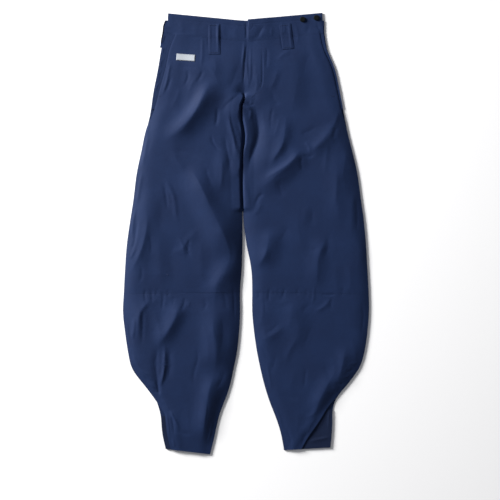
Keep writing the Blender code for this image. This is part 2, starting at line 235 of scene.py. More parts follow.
def keep_corners(form):
    """Pins the points where a sheet's border turns sharply, so that smoothing leaves them square."""
    pinned = form.verts.layers.float.new("crease_vert")
    for vertex in form.verts:
        border = [edge for edge in vertex.link_edges if edge.is_boundary]
        if len(border) == 2:
            runs = [(edge.other_vert(vertex).co - vertex.co).normalized() for edge in border]
            vertex[pinned] = 1.0 if runs[0].dot(runs[1]) > CORNER_TURN else 0.0


def split_long_edges(form, longest):
    """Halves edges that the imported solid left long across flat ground."""
    long_ones = [edge for edge in form.edges if edge.calc_length() > longest * MM]
    bmesh.ops.subdivide_edges(form, edges=long_ones, cuts=1, use_grid_fill=True)


def face_of_cloth(node, fineness, longest=LONGEST):
    """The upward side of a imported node, subdivided smoothly."""
    form = bmesh.new()
    form.from_mesh(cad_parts[node].data)
    bmesh.ops.remove_doubles(form, verts=form.verts, dist=1e-6)
    form.normal_update()
    hidden = [face for face in form.faces if face.normal.z < FACING_UP]
    bmesh.ops.delete(form, geom=hidden, context="FACES")
    bmesh.ops.join_triangles(form, faces=form.faces, angle_face_threshold=math.pi,
                             angle_shape_threshold=math.pi)
    split_long_edges(form, longest)
    keep_corners(form)
    mesh = bpy.data.meshes.new(node + "_face")
    form.to_mesh(mesh)
    form.free()
    carrier = bpy.data.objects.new(node + "_face", mesh)
    bpy.context.scene.collection.objects.link(carrier)
    finer = carrier.modifiers.new("finer", "SUBSURF")
    finer.levels = fineness
    finer.render_levels = fineness
    finer.boundary_smooth = "PRESERVE_CORNERS"
    bpy.context.view_layer.update()
    smooth = bpy.data.meshes.new_from_object(carrier.evaluated_get(bpy.context.evaluated_depsgraph_get()))
    bpy.data.objects.remove(carrier)
    form = bmesh.new()
    form.from_mesh(smooth)
    for edge in form.edges:
        edge.smooth = not edge.is_boundary
    form.to_mesh(smooth)
    form.free()
    odd = sum(1 for polygon in mesh.polygons if len(polygon.vertices) == 3)
    print(node, "quads", len(mesh.polygons) - odd, "triangles left", odd,
          "fine faces", len(smooth.polygons))
    return smooth


def read_points(mesh):
    """A mesh's points as an array in millimetres."""
    flat = np.empty(len(mesh.vertices) * 3)
    mesh.vertices.foreach_get("co", flat)
    return flat.reshape(-1, 3) / MM


def write_points(mesh, points):
    """Puts an array in millimetres back as the mesh's points."""
    mesh.vertices.foreach_set("co", (points * MM).ravel())
    mesh.update()


# %% [markdown]
# Cloth that lies on cloth is highest in the middle of a leg and rolls down over the seam at each
# side. How high it stands at a point follows from its distance to the nearest side seam or inseam,
# which is read from the border of the back panel under it.

# %% Distance to the side seams
BACK_FACING_UP = 0.5
SEAM_SLOPE = 0.45
CROTCH_HIGH = 315.0
FLY_REACH = 45.0


def is_steep(pair):
    """Whether an edge runs up the garment and not across it."""
    start, end = pair
    return abs(end[1] - start[1]) > SEAM_SLOPE * abs(end[0] - start[0])


def side_seams(node):
    """The long edges of a back panel's border, as pairs of points in millimetres."""
    form = bmesh.new()
    form.from_mesh(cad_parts[node].data)
    bmesh.ops.remove_doubles(form, verts=form.verts, dist=1e-6)
    form.normal_update()
    hidden = [face for face in form.faces if face.normal.z < BACK_FACING_UP]
    bmesh.ops.delete(form, geom=hidden, context="FACES")
    pairs = []
    for edge in form.edges:
        if edge.is_boundary:
            start, end = (np.array(vert.co.xy) / MM for vert in edge.verts)
            over_fly = min(start[1], end[1]) > CROTCH_HIGH and abs(start[0]) < FLY_REACH
            if is_steep((start, end)) and not over_fly:
                pairs.append((start, end))
    form.free()
    return pairs


def distance_to(points, pairs):
    """Distance in the plane from each point to the nearest of the edges."""
    nearest = np.full(len(points), 1e9)
    for start, end in pairs:
        run = end - start
        part = np.clip(((points[:, :2] - start) @ run) / (run @ run), 0, 1)
        gap = points[:, :2] - (start + part[:, None] * run)
        nearest = np.minimum(nearest, np.hypot(gap[:, 0], gap[:, 1]))
    return nearest


def ease(value):
    """0 below 0, 1 above 1 and an even curve between."""
    value = np.clip(value, 0, 1)
    return value * value * (3 - 2 * value)


seams = {side: side_seams(f"back_leg_{side}") for side in ("right", "left")}
print("side seam edges:", {side: len(pairs) for side, pairs in seams.items()})

# %% [markdown]
# A crease is a line drawn down the cloth, with the width of its slope on the west side, which
# is the wearer's right, and on the east side, and the height of its crest. Uneven ones, some long and
# shallow and some short and tight, are what makes cloth look like cloth. A trough has a height below
# zero. All sizes are in millimetres from the middle of the garment.

# %% How a crease lifts or sinks the cloth
Crease = namedtuple("Crease", "path west east height")
CREST_ROUND = 0.25
CREASE_TAPER = 0.35


def smooth_line(path, pieces=6):
    """Points along a curve through every place of a path."""
    places = [np.array(place, float) for place in path]
    places = [2 * places[0] - places[1], *places, 2 * places[-1] - places[-2]]
    line = []
    for before, start, end, after in zip(places, places[1:], places[2:], places[3:]):
        for step in range(pieces):
            t = step / pieces
            line.append(0.5 * (2 * start + (end - before) * t
                               + (2 * before - 5 * start + 4 * end - after) * t * t
                               + (3 * start - before - 3 * end + after) * t ** 3))
    line.append(places[-2])
    return line


def crease_height(points, creases):
    """Height of all the creases together at each point, in millimetres."""
    total = np.zeros(len(points))
    for crease in creases:
        line = smooth_line(crease.path)
        margin = max(crease.west, crease.east)
        low, high = np.min(line, axis=0) - margin, np.max(line, axis=0) + margin
        near = np.flatnonzero(np.all((points[:, :2] > low) & (points[:, :2] < high), axis=1))
        place = points[near, :2]
        nearest = np.full(len(near), 1e9)
        along = np.zeros(len(near))
        turn = np.zeros(len(near))
        for index, (start, end) in enumerate(zip(line, line[1:])):
            run = end - start
            part = np.clip(((place - start) @ run) / (run @ run), 0, 1)
            gap = place - (start + part[:, None] * run)
            distance = np.hypot(gap[:, 0], gap[:, 1])
            closer = distance < nearest
            nearest[closer] = distance[closer]
            along[closer] = (index + part[closer]) / (len(line) - 1)
            turn[closer] = (run[0] * gap[:, 1] - run[1] * gap[:, 0])[closer]
        away = np.minimum(1, nearest / np.where(turn > 0, crease.east, crease.west))
        taper = ease(along / CREASE_TAPER) * ease((1 - along) / CREASE_TAPER)
        total[near] += crease.height * taper * (1 - away) ** 2 * (1 + 2 * CREST_ROUND * away)
    return total


# %% Creases of the two legs
RIGHT_CREASES = [
    Crease([(4, 462), (0, 425), (-3, 385), (-6, 345)], 7, 3, -1.8),
    Crease([(-3, 455), (-7, 420), (-9, 385)], 4, 4, 0.8),
    Crease([(-79, 378), (-98, 334), (-120, 291), (-156, 245), (-211, 214)], 27, 53, 2.8),
    Crease([(-139, 168), (-110, 117), (-81, 55), (-48, -17), (-36, -70)], 58, 63, 3.6),
    Crease([(-36, -46), (-50, -99), (-72, -138), (-77, -210)], 48, 48, 2.0),
    Crease([(-79, -186), (-77, -246), (-72, -302), (-77, -350)], 48, 39, 2.2),
    Crease([(-77, -331), (-89, -391), (-98, -451), (-108, -514)], 34, 34, 2.2),
    Crease([(-158, -157), (-168, -205), (-187, -239), (-216, -283)], 34, 27, 1.8),
    Crease([(-4, 344), (-14, 305), (-23, 262)], 43, 14, 3.2),
    Crease([(-98, 416), (-77, 383), (-57, 339)], 29, 34, 1.4),
    Crease([(-211, 31), (-207, -66), (-202, -143)], 39, 34, 1.2),
    Crease([(-231, -162), (-207, -234), (-211, -287)], 19, 19, 1.0),
    Crease([(-163, 7), (-178, -70), (-163, -138)], 34, 34, -1.0),
    Crease([(-178, 199), (-144, 195), (-101, 175)], 29, 24, -1.0),
    Crease([(-86, 368), (-101, 339), (-117, 301), (-139, 269), (-168, 243), (-197, 224)], 19, 25, 1.7),
    Crease([(-139, 161), (-113, 122), (-96, 86), (-79, 50)], 19, 28, 1.8),
    Crease([(-79, 50), (-60, 11), (-43, -27), (-38, -61), (-50, -95)], 22, 28, 1.3),
    Crease([(-48, -85), (-67, -114), (-81, -143)], 19, 25, 1.1),
    Crease([(-77, -191), (-79, -234), (-69, -273), (-74, -336)], 19, 28, 1.2),
    Crease([(-72, -340), (-89, -379), (-96, -432), (-105, -490)], 19, 28, 1.7),
    Crease([(-161, -172), (-173, -210), (-190, -239), (-211, -273)], 16, 19, 1.5),
    Crease([(-228, -160), (-245, -179), (-257, -205), (-260, -268)], 13, 11, 1.5),
    Crease([(-7, 344), (-33, 320), (-60, 291)], 8, 22, -1.0),
    Crease([(-40, 292), (-36, 250), (-27, 206), (-17, 172)], 13, 8, 2.7),
    Crease([(-23, 270), (-18, 240), (-15, 205)], 8, 7, -1.6),
    Crease([(-11, 180), (-19, 156), (-26, 127)], 13, 9, 1.2),
    Crease([(-69, 305), (-69, 277), (-74, 252)], 8, 9, -1.5),
    Crease([(-52, 248), (-48, 209), (-40, 171), (-40, 137)], 13, 9, -1.6),
    Crease([(-84, 238), (-77, 214), (-62, 197)], 8, 6, -1.1),
    Crease([(-57, 185), (-57, 142), (-62, 98)], 9, 9, 0.8),
    Crease([(-96, 161), (-91, 137), (-77, 108)], 13, 9, -0.8),
    Crease([(-180, 416), (-185, 392), (-192, 358), (-204, 325)], 7, 7, 1.2),
    Crease([(-195, 416), (-199, 387), (-209, 358)], 5, 6, 0.7),
    Crease([(-142, 392), (-139, 375), (-149, 349)], 7, 8, -1.1),
    Crease([(-103, 392), (-108, 378), (-120, 358)], 7, 8, -1.0),
    Crease([(-180, 378), (-185, 358), (-195, 334)], 8, 8, -0.8),
    Crease([(-105, 479), (-105, 436), (-108, 392)], 6, 8, 0.8),
    Crease([(-163, 407), (-139, 399), (-110, 395)], 9, 9, -0.6),
    Crease([(-117, 378), (-130, 358), (-139, 334)], 9, 11, 0.7),
    Crease([(-156, 354), (-166, 325), (-183, 291)], 16, 19, 0.8),
    Crease([(-91, 489), (-91, 465), (-91, 440)], 5, 5, -0.5),
    Crease([(-81, 426), (-72, 402), (-77, 368)], 19, 19, 0.9),
    Crease([(-14, 412), (-28, 373), (-40, 339)], 16, 19, -0.8),
    Crease([(-4, 469), (-4, 436), (-7, 402)], 6, 6, 0.9),
    Crease([(-226, 310), (-236, 262), (-240, 224)], 7, 8, 0.9),
    Crease([(-233, 248), (-243, 195), (-252, 151)], 8, 9, 1.2),
    Crease([(-248, 156), (-257, 103), (-264, 60)], 8, 9, 1.2),
    Crease([(-264, 64), (-272, 21), (-274, -17)], 7, 6, 1.5),
    Crease([(-260, 45), (-264, 7), (-269, -27), (-279, -46)], 6, 6, -1.1),
    Crease([(-238, 64), (-238, 16), (-248, -32), (-264, -70), (-277, -99)], 13, 13, 1.6),
    Crease([(-264, -32), (-272, -51), (-279, -61)], 5, 6, 0.9),
    Crease([(-252, -70), (-250, -99), (-255, -124)], 9, 9, -0.8),
    Crease([(-231, 2), (-228, -27), (-228, -56)], 9, 16, -0.9),
    Crease([(-197, 134), (-185, 113), (-173, 84), (-168, 45), (-161, 16)], 10, 10, 1.3),
    Crease([(-199, 122), (-192, 89), (-187, 50)], 9, 8, -1.1),
    Crease([(-134, -8), (-139, -37), (-134, -70)], 8, 9, -1.3),
    Crease([(-163, -8), (-151, -32), (-149, -61)], 9, 8, 0.9),
    Crease([(-110, 16), (-134, -13), (-158, -42), (-187, -51)], 16, 19, 0.9),
    Crease([(-105, -8), (-108, -66), (-105, -133)], 25, 28, 0.9),
    Crease([(-178, 199), (-163, 171), (-139, 151)], 19, 16, 0.9),
    Crease([(-240, -133), (-243, -152), (-238, -172)], 6, 6, -1.0),
    Crease([(-226, -128), (-226, -152), (-224, -172)], 6, 6, -1.0),
    Crease([(-214, -133), (-214, -152)], 5, 6, -0.7),
    Crease([(-199, -138), (-199, -162), (-202, -191)], 6, 6, -1.1),
    Crease([(-185, -133), (-187, -157)], 6, 6, -0.7),
    Crease([(-173, -152), (-175, -177)], 6, 6, -0.5),
    Crease([(-146, -152), (-149, -172), (-156, -191)], 7, 8, -1.2),
    Crease([(-134, -162), (-139, -181)], 6, 6, 0.6),
    Crease([(-103, -157), (-96, -172), (-103, -191)], 9, 9, -0.7),
    Crease([(-55, -133), (-48, -167), (-45, -191)], 9, 9, -0.7),
    Crease([(-31, -128), (-28, -167), (-28, -210)], 6, 6, -0.8),
    Crease([(-269, -201), (-269, -230), (-274, -263)], 8, 7, 1.5),
    Crease([(-248, -177), (-248, -225), (-250, -278)], 9, 9, -1.3),
    Crease([(-281, -210), (-279, -244), (-272, -273)], 5, 6, -0.9),
    Crease([(-231, -167), (-207, -162), (-187, -181)], 13, 16, 0.6),
    Crease([(-195, -263), (-195, -311), (-199, -345), (-207, -374)], 9, 8, 3.6),
    Crease([(-211, -268), (-216, -316), (-211, -369), (-207, -403)], 16, 10, -2.7),
    Crease([(-183, -273), (-183, -316), (-187, -360)], 11, 14, -1.6),
    Crease([(-120, -273), (-115, -302), (-125, -340), (-125, -374)], 9, 9, -0.9),
    Crease([(-103, -210), (-91, -268), (-93, -326)], 22, 22, 0.9),
    Crease([(-57, -191), (-55, -244), (-62, -297)], 19, 22, -1.1),
    Crease([(-50, -326), (-57, -355), (-74, -379)], 13, 13, -1.1),
    Crease([(-134, -350), (-115, -384), (-96, -393)], 19, 19, 0.5),
    Crease([(-274, -287), (-264, -311), (-250, -331)], 6, 8, 1.1),
    Crease([(-260, -321), (-245, -336), (-226, -345)], 5, 6, 0.9),
    Crease([(-248, -345), (-233, -355), (-219, -362)], 5, 6, -1.0),
    Crease([(-238, -360), (-226, -369), (-214, -374)], 5, 6, 1.0),
    Crease([(-226, -379), (-216, -384), (-204, -384)], 5, 6, -0.8),
    Crease([(-216, -350), (-211, -374), (-209, -393)], 6, 6, -1.3),
    Crease([(-207, -398), (-192, -413), (-183, -432)], 13, 13, 0.8),
    Crease([(-183, -425), (-173, -446), (-158, -475)], 6, 6, 1.6),
    Crease([(-180, -437), (-175, -461), (-171, -490)], 7, 10, -1.6),
    Crease([(-192, -427), (-187, -461), (-183, -495)], 5, 5, 0.9),
    Crease([(-173, -471), (-149, -483), (-125, -485)], 9, 13, -0.8),
    Crease([(-178, -495), (-173, -507), (-171, -519)], 7, 6, 0.9),
    Crease([(-96, -393), (-91, -427), (-98, -471)], 13, 16, -1.2),
    Crease([(-81, -451), (-84, -475), (-91, -509)], 6, 6, 0.9),
    Crease([(-144, -413), (-137, -461), (-134, -509)], 25, 25, 0.7),
]
LEFT_CREASES = [
    Crease([(39, 445), (40, 400), (39, 360), (31, 342)], 5, 4, -1.1),
    Crease([(13, 460), (12, 420), (11, 375), (6, 345)], 3.5, 3, 0.7),
    Crease([(7, 456), (6, 420), (5, 380), (2, 350)], 3, 3, -0.5),
    Crease([(97, 291), (90, 219), (54, 151)], 29, 19, 1.8),
    Crease([(222, 267), (191, 221), (145, 185)], 34, 27, 1.6),
    Crease([(138, 209), (102, 161), (15, 93)], 34, 41, 2.6),
    Crease([(58, 16), (51, -37), (27, -90)], 34, 48, 2.4),
    Crease([(196, -8), (177, -56), (169, -152)], 34, 27, 1.4),
    Crease([(107, -148), (124, -220), (128, -297)], 48, 48, 1.6),
    Crease([(244, -263), (232, -321), (215, -374)], 29, 29, 2.0),
    Crease([(213, -331), (189, -384), (152, -451)], 34, 29, 2.0),
    Crease([(222, 199), (218, 103), (227, 2)], 48, 39, 1.3),
    Crease([(39, -152), (44, -234), (63, -336)], 34, 39, 1.2),
    Crease([(131, 416), (121, 344), (107, 277)], 43, 43, 1.0),
    Crease([(131, 79), (126, 7), (145, -70)], 39, 43, 1.0),
    Crease([(22, 322), (28, 287), (29, 247), (21, 207), (11, 167), (4, 122)], 27, 36, -9.5),
    Crease([(-4, 312), (6, 302), (18, 296)], 5, 7, 1.8),
    Crease([(8, 322), (14, 308), (26, 312)], 6, 5, -1.4),
    Crease([(92, 238), (87, 209), (70, 183), (58, 161)], 16, 14, 1.6),
    Crease([(208, 252), (181, 219), (152, 195)], 16, 13, 1.3),
    Crease([(131, 199), (116, 178), (92, 158), (66, 142), (39, 125)], 13, 17, 2.7),
    Crease([(54, -27), (46, -56), (27, -83)], 16, 16, 1.7),
    Crease([(196, -17), (179, -46), (172, -75), (172, -138)], 16, 16, 1.2),
    Crease([(97, -220), (68, -244), (39, -258)], 13, 16, 1.2),
    Crease([(237, -283), (232, -321), (220, -360)], 14, 16, 1.7),
    Crease([(208, -345), (186, -384), (167, -422)], 16, 16, 1.5),
    Crease([(1, 320), (3, 286), (3, 248), (-2, 204)], 6, 9, 1.7),
    Crease([(8, 305), (17, 291), (10, 267)], 6, 7, 1.3),
    Crease([(1, 127), (5, 89), (8, 45)], 8, 9, 1.2),
    Crease([(66, 305), (61, 277), (61, 243)], 8, 8, -1.2),
    Crease([(83, 281), (75, 252), (66, 224)], 13, 13, 1.1),
    Crease([(39, 301), (44, 267), (49, 224)], 13, 13, 0.8),
    Crease([(17, 412), (17, 387), (15, 358)], 7, 7, -0.8),
    Crease([(27, 387), (27, 358), (22, 330)], 7, 7, 0.7),
    Crease([(51, 450), (51, 421), (49, 392)], 7, 8, -1.0),
    Crease([(39, 503), (27, 479), (15, 455)], 9, 13, -1.1),
    Crease([(78, 397), (70, 368), (56, 339)], 19, 14, 1.3),
    Crease([(63, 344), (68, 320), (83, 305)], 13, 16, -0.8),
    Crease([(85, 479), (87, 455), (92, 436)], 6, 6, -0.9),
    Crease([(111, 436), (92, 431), (73, 412)], 9, 13, 0.9),
    Crease([(1, 416), (5, 378), (5, 339)], 6, 6, 1.0),
    Crease([(160, 440), (145, 412), (140, 373)], 19, 22, -0.6),
    Crease([(121, 503), (126, 479), (124, 450)], 9, 9, 0.6),
    Crease([(227, 301), (213, 262), (193, 238)], 16, 13, 1.3),
    Crease([(218, 262), (213, 238), (208, 224)], 9, 13, -1.1),
    Crease([(174, 257), (150, 243), (131, 238)], 13, 16, -1.1),
    Crease([(140, 219), (152, 207), (155, 190)], 9, 9, 1.2),
    Crease([(136, 190), (150, 183), (169, 190)], 8, 9, -1.2),
    Crease([(136, 190), (133, 166), (138, 146)], 9, 9, -1.1),
    Crease([(198, 219), (193, 175), (189, 132)], 13, 13, 0.9),
    Crease([(222, 156), (218, 103), (213, 50)], 16, 13, 0.9),
    Crease([(242, 199), (237, 161), (232, 117)], 19, 13, 0.9),
    Crease([(44, 96), (30, 84), (20, 57)], 8, 10, -1.7),
    Crease([(39, 74), (30, 55), (15, 40)], 11, 11, 0.9),
    Crease([(73, 132), (83, 108), (87, 79)], 16, 19, -0.9),
    Crease([(145, 69), (143, 40), (131, 16)], 16, 16, 0.7),
    Crease([(160, 64), (160, 36), (150, 11)], 13, 16, -0.8),
    Crease([(107, 16), (92, -3), (83, -32)], 19, 22, -1.0),
    Crease([(140, -32), (160, -42), (179, -32)], 13, 16, -0.7),
    Crease([(198, 2), (198, -32), (191, -61)], 13, 16, -1.1),
    Crease([(256, 103), (256, 45), (254, -17)], 22, 22, 1.2),
    Crease([(266, 89), (268, 45), (268, -3)], 8, 8, -0.8),
    Crease([(249, -61), (251, -114), (249, -162)], 19, 22, 1.1),
    Crease([(213, -70), (218, -119), (222, -162)], 25, 22, 0.8),
    Crease([(30, -136), (32, -150), (27, -167)], 8, 8, -0.9),
    Crease([(58, -131), (56, -148), (54, -172)], 6, 6, -1.3),
    Crease([(46, -152), (46, -177), (49, -196)], 6, 8, -0.8),
    Crease([(95, -128), (92, -145), (85, -162)], 7, 7, -1.1),
    Crease([(73, -128), (73, -152)], 6, 6, 0.6),
    Crease([(126, -133), (124, -152)], 6, 6, -0.8),
    Crease([(148, -133), (145, -157)], 7, 7, -0.6),
    Crease([(164, -124), (164, -152), (160, -177)], 6, 6, 0.9),
    Crease([(179, -148), (198, -150), (218, -148)], 6, 7, -1.1),
    Crease([(234, -128), (232, -157)], 6, 6, -0.7),
    Crease([(251, -133), (254, -157)], 6, 6, -0.6),
    Crease([(210, -152), (205, -172), (208, -191)], 7, 7, -0.9),
    Crease([(205, -157), (189, -177), (164, -191)], 11, 13, 1.8),
    Crease([(160, -167), (145, -181), (131, -191)], 13, 16, -0.9),
    Crease([(111, -157), (92, -167), (68, -167)], 13, 13, 0.8),
    Crease([(107, -162), (109, -205), (97, -234)], 25, 22, 1.1),
    Crease([(44, -157), (39, -201), (30, -239)], 13, 16, 0.8),
    Crease([(83, -215), (63, -234), (44, -246)], 9, 13, -0.9),
    Crease([(128, -244), (114, -268), (102, -292), (95, -321)], 16, 16, 1.6),
    Crease([(169, -210), (150, -249), (136, -287)], 25, 25, -0.9),
    Crease([(73, -287), (68, -316), (58, -340)], 16, 13, -1.2),
    Crease([(145, -321), (143, -350), (140, -379)], 8, 9, -1.2),
    Crease([(203, -283), (213, -321), (213, -355)], 19, 13, 1.1),
    Crease([(121, -321), (111, -360), (102, -389)], 25, 22, 0.9),
    Crease([(184, -316), (198, -340), (203, -365)], 13, 13, -1.1),
    Crease([(251, -249), (263, -287), (261, -321)], 16, 16, 0.9),
    Crease([(280, -162), (283, -205), (278, -249)], 6, 6, -0.8),
    Crease([(85, -384), (107, -396), (131, -398)], 13, 16, -0.9),
    Crease([(49, -311), (56, -345), (63, -384)], 6, 7, 1.2),
    Crease([(39, -268), (49, -297), (63, -311)], 9, 13, -0.9),
    Crease([(271, -311), (258, -316), (244, -316)], 6, 6, 1.0),
    Crease([(263, -326), (251, -333), (237, -336)], 6, 6, -1.1),
    Crease([(251, -340), (242, -348), (230, -345)], 5, 6, 1.0),
    Crease([(237, -362), (227, -365), (213, -360)], 6, 6, -1.2),
    Crease([(225, -379), (218, -377), (205, -369)], 5, 6, 1.0),
    Crease([(215, -393), (205, -389), (193, -384)], 5, 6, -0.9),
    Crease([(179, -413), (162, -437), (140, -446)], 11, 13, 1.3),
    Crease([(174, -437), (157, -461), (145, -490)], 16, 13, 1.2),
    Crease([(155, -475), (140, -495), (136, -514)], 9, 13, -1.1),
    Crease([(68, -413), (80, -442), (92, -480)], 6, 7, 1.1),
    Crease([(121, -422), (126, -461), (116, -499)], 22, 22, 0.9),
    Crease([(97, -466), (107, -495), (109, -516)], 8, 8, -0.9),
]

CREASES = {"right": RIGHT_CREASES, "left": LEFT_CREASES}
print("creases:", {side: len(creases) for side, creases in CREASES.items()})

# %% [markdown]
# A sheet of cloth has two faces and a thickness. Here it is shaped as one open sheet, and a Solidify
# modifier thickens it downwards at the end, so the shaped side stays where it was put. The finished
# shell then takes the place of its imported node.

# %% Thicken a sheet and read its border
CLOTH_THICK = 1.0


def cloth_piece(node, mesh, thickness=CLOTH_THICK, material=navy_twill, ending="_cloth"):
    """A finished cloth shell that stands for its node."""
    mesh.shade_smooth()
    mesh.materials.clear()
    mesh.materials.append(material)
    piece = bpy.data.objects.new(node + ending, mesh)
    bpy.context.scene.collection.objects.link(piece)
    wall = piece.modifiers.new("cloth_wall", "SOLIDIFY")
    wall.thickness = thickness * MM
    wall.offset = -1.0
    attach(piece, "root")
    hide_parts(node)
    return piece


def rim_of(mesh):
    """The edges on the border of an open sheet, as pairs of points in millimetres."""
    form = bmesh.new()
    form.from_mesh(mesh)
    borders = [edge for edge in form.edges if edge.is_boundary]
    rim = [tuple(np.array(vert.co.xy) / MM for vert in edge.verts) for edge in borders]
    form.free()
    return rim


# %% [markdown]
# The four front panels are shaped by the same rules, so the cloth runs on across the knee seam
# without a step. It swells over the leg and falls off towards each side seam in a roll that two waves
# make uneven. It is flatter by the pockets, and dies down to the sewn waist and hem.

# %% How far the cloth swells over a leg
SWELL = 5.0
ROLL_WIDE = 30.0
ROLL_UNEVEN = 7.0
LONG_WAVE = 41.0
SHORT_WAVE = 17.0
SHORT_WAVE_SHARE = 0.6
WAIST = 462.0
WAIST_FADE = 70.0
HEM = -530.0
HEM_FADE = 60.0
HEM_SWELL = 0.4
POCKET_FLAT = 0.7
POCKET_SIDE = 110.0
POCKET_SIDE_FADE = 50.0
POCKET_LOW = 270.0
POCKET_LOW_FADE = 60.0


def swell_at(east, high, reach):
    """How much the cloth stands up over a leg at a place and a distance from the seams."""
    wide = (ROLL_WIDE + ROLL_UNEVEN * np.sin(high / LONG_WAVE)
            + SHORT_WAVE_SHARE * ROLL_UNEVEN * np.sin(high / SHORT_WAVE + 1.0))
    inward = np.clip(reach / wide, 0, 1)
    by_pocket = (ease((np.abs(east) - POCKET_SIDE) / POCKET_SIDE_FADE)
                 * ease((high - POCKET_LOW) / POCKET_LOW_FADE))
    by_waist = ease((WAIST - high) / WAIST_FADE)
    by_hem = HEM_SWELL + (1 - HEM_SWELL) * ease((high - HEM) / HEM_FADE)
    return SWELL * (1 - (1 - inward) ** 2) * by_waist * by_hem * (1 - POCKET_FLAT * by_pocket)


# %% [markdown]
# Below the crotch the two legs press against each other. Each rolls down there in a tight turn, and
# they leave a narrow, winding slot that no light reaches. A row of the table gives the slot's two
# sides at one height. The right leg's edge runs on as a small flap under the left one, so the floor
# can't be seen through the slot.

# %% Roll the legs down into the slot between them
Slot = namedtuple("Slot", "height west east")
SLOT = [
    Slot(340, -2.5, -1.5), Slot(325, -4.5, -3.5), Slot(308, -11.5, -9.5), Slot(289, -12.5, -10.5),
    Slot(272, -11.5, -8.5), Slot(252, -9, -4), Slot(235, -7.5, -1.5), Slot(216, -8, -2),
    Slot(199, -9, -6), Slot(175, -10.5, -8), Slot(139, -12, -7.5), Slot(103, -11.5, -7.5),
    Slot(67, -10, -6), Slot(48, -9.5, -5.5),
]
SLOT_FADE = 14.0
SLOT_REACH = 60.0
ROLL_LONG = 14.0
ROLL_ROUND = {"right": 3.4, "left": 4.2}
ROLL_FOOT = {"right": 2.4, "left": 3.5}
FLAP = 2.5
FLAP_UNDER = 3.0
LEG_LIFT = {"right": 5.2, "left": 4.6}
LIFT_WIDE = 27.0
LIFT_CURVE = 1.15


def roll_down(points, side):
    """Lifts the cloth beside the slot between the legs and rolls its edge down into it."""
    sign = -1 if side == "right" else 1
    ends = sorted({tuple(end) for pair in seams[side] for end in pair if abs(end[0]) < SLOT_REACH},
                  key=lambda end: end[1])
    high = points[:, 1]
    rim = np.interp(high, [end[1] for end in ends], [end[0] for end in ends])
    depths = [-row.height for row in SLOT]
    west = np.interp(-high, depths, [row.west for row in SLOT])
    east = np.interp(-high, depths, [row.east for row in SLOT])
    inland = (points[:, 0] - rim) * sign
    there = ease((SLOT[0].height - high) / SLOT_FADE) * ease((high - SLOT[-1].height) / SLOT_FADE)
    there *= inland < SLOT_REACH
    top = points[:, 2] + LEG_LIFT[side] * (1 - np.clip(inland / LIFT_WIDE, 0, 1)) ** LIFT_CURVE
    flap = FLAP if side == "right" else 0.0
    share = np.clip((inland - flap) / ROLL_LONG, 0, 1)
    back = ROLL_LONG * share ** 2
    down = np.sqrt(1 - (1 - np.clip(back / ROLL_ROUND[side], 0, 1)) ** 2)
    edge = west if side == "right" else east
    away = np.where(share < 1, back, inland - flap)
    fade = 1 - ease((inland - ROLL_LONG) / (SLOT_REACH - ROLL_LONG))
    shifted = (edge + sign * away) * fade + points[:, 0] * (1 - fade)
    if side == "right":
        under = np.clip(1 - inland / FLAP, 0, 1)
        shifted += under * (east + FLAP_UNDER - west)
    points[:, 0] += (shifted - points[:, 0]) * there
    rolled = ROLL_FOOT[side] + (top - ROLL_FOOT[side]) * down
    points[:, 2] += (rolled - points[:, 2]) * there


# %% [markdown]
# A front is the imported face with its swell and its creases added. The whole is then pressed towards
# the floor, by a share that changes up the leg, because the lower and the left parts lie flatter. The
# knee seam draws the cloth in a little and closes the gap that the solids keep there, and the free
# edges of the fly and of the pocket mouths bend down.

# %% Shape the fronts
FRONT_FINENESS = 3
LOWEST = 2.4
Press = namedtuple("Press", "height kept")
PRESSED = {
    "right": [Press(-530, 0.7), Press(-400, 0.75), Press(-300, 0.86), Press(-190, 0.9),
              Press(-145, 0.8), Press(-100, 0.92), Press(330, 0.92), Press(470, 0.82)],
    "left": [Press(-530, 0.55), Press(-330, 0.5), Press(-190, 0.6), Press(-145, 0.58),
             Press(-100, 0.68), Press(200, 0.76), Press(330, 0.78), Press(470, 0.8)],
}
SEAM_HOLD = 5.0
KNEE = -145.0
KNEE_DIP = 0.12
KNEE_DIP_WIDE = 4.0
KNEE_DRAW = 0.2
KNEE_DRAW_WIDE = 2.6
POCKET_FROM = 150.0
POCKET_FOOT = 300.0
EDGE_WIDE = 4.0
EDGE_DROP = {"fly": 0.15, "pocket": 0.4}


def draw_in_knee(points):
    """Brings the two borders of the knee seam together."""
    high = points[:, 1]
    at_knee = np.abs(high - KNEE) < KNEE_DRAW_WIDE
    share = 1 - np.abs(high[at_knee] - KNEE) / KNEE_DRAW_WIDE
    points[at_knee, 1] += np.where(high[at_knee] > KNEE, -1, 1) * KNEE_DRAW * share


def shape_front(node, side):
    """A front panel's face with its swell, roll and creases."""
    mesh = face_of_cloth(node, FRONT_FINENESS)
    points = read_points(mesh)
    high = points[:, 1]
    reach = distance_to(points, seams[side])
    knee = -KNEE_DIP * np.exp(-((high - KNEE) / KNEE_DIP_WIDE) ** 2)
    folds = crease_height(points, CREASES[side]) * ease((reach + 1) / SEAM_HOLD)
    points[:, 2] += swell_at(points[:, 0], high, reach) + knee + folds
    kept = np.interp(high, *zip(*PRESSED[side]))
    points[:, 2] = LOWEST + (points[:, 2] - LOWEST) * kept
    roll_down(points, side)
    rim = [pair for pair in rim_of(mesh) if is_steep(pair)]
    edges = {"pocket": [pair for pair in rim if abs(pair[0][0]) > POCKET_FROM and pair[0][1] > POCKET_FOOT]}
    if side == "left":
        edges["fly"] = [pair for pair in rim if abs(pair[0][0]) < FLY_REACH and pair[0][1] > CROTCH_HIGH]
    for edge, pairs in edges.items():
        if pairs:
            bend = (1 - np.clip(distance_to(points, pairs) / EDGE_WIDE, 0, 1)) ** 2
            points[:, 2] -= EDGE_DROP[edge] * bend
    points[:, 2] = np.maximum(points[:, 2], LOWEST)
    draw_in_knee(points)
    write_points(mesh, points)
    return mesh


